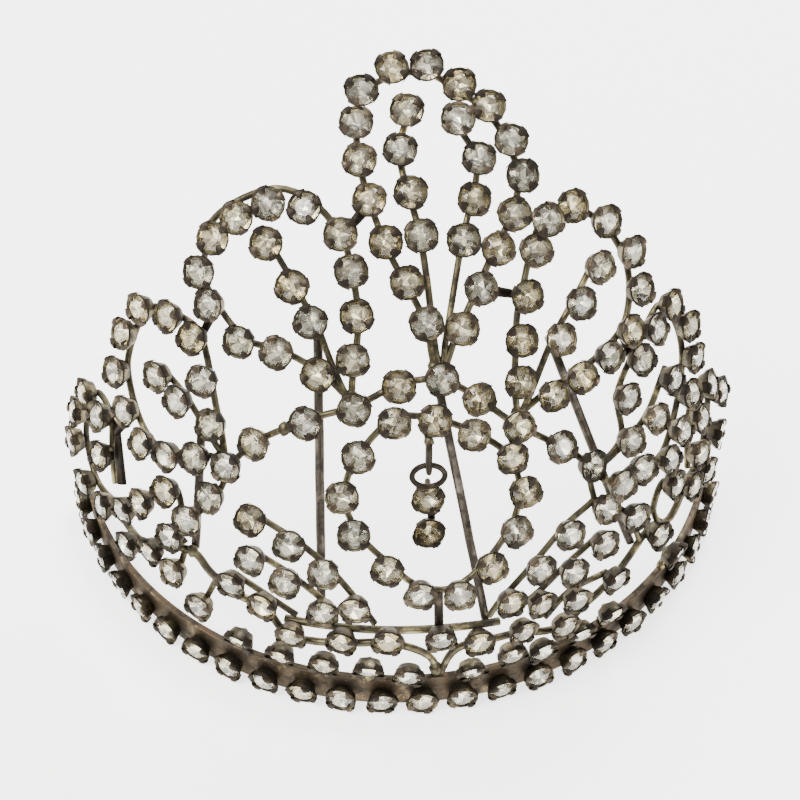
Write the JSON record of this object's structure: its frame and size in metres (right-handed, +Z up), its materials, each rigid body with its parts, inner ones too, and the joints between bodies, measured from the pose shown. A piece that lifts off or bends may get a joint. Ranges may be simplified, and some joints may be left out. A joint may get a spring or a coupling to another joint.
{
  "type": "tiara",
  "caption": "Openwork tiara: round stones in claw cups on bent wire loops above a curved base strip, with a small hinged drop.",
  "frame": {"origin": "on the floor, below the middle of the tiara's box", "axes": "+Z up, the front faces -Y, +X to the right in a front view"},
  "size_m": [0.1542, 0.0767, 0.1188],
  "materials": {
    "wire": "tarnished brass wire and claw cups, brown-black in the recesses",
    "strip": "brown tarnished strip with rust-coloured stains",
    "rod": "smooth grey-brown wire",
    "stone": "faceted foiled glass stones, cream to grey"
  },
  "bodies": {
    "tiara": {"base_band": "strip", "row_a_stones": "stone", "upper_row_stones": "stone", "swag": "wire", "swag_stones": "stone", "top_bar": "wire", "top_bar_stone": "stone", "garland": "wire", "garland_stones": "stone", "centre_ring": "wire", "centre_ring_stones": "stone", "peak": "wire", "peak_stones": "stone", "peak_spray_stones": "stone", "leaf_l1": "wire", "leaf_l1_stones": "stone", "leaf_l2": "wire", "leaf_l2_stones": "stone", "leaf_l3": "wire", "leaf_l3_stones": "stone", "leaf_r1": "wire", "leaf_r1_stones": "stone", "leaf_r2": "wire", "leaf_r2_stones": "stone", "leaf_r3": "wire", "leaf_r3_stones": "stone", "fan_l1": "wire", "fan_l2": "wire", "fan_l3": "wire", "fan_left_stones": "stone", "fan_r1": "wire", "fan_r2": "wire", "fan_r3": "wire", "fan_right_stones": "stone", "rod_1": "rod", "rod_2": "rod", "rod_3": "rod", "rod_4": "rod"},
    "drop": {"drop": "wire", "drop_stones": "stone"}
  },
  "joints": [
    {"name": "drop_swing", "type": "hinge", "parent": "tiara", "child": "drop", "pos_m": [0.0037, -0.0177, 0.059], "axis": [1, 0, 0], "range_deg": [-40, 40]}
  ]
}
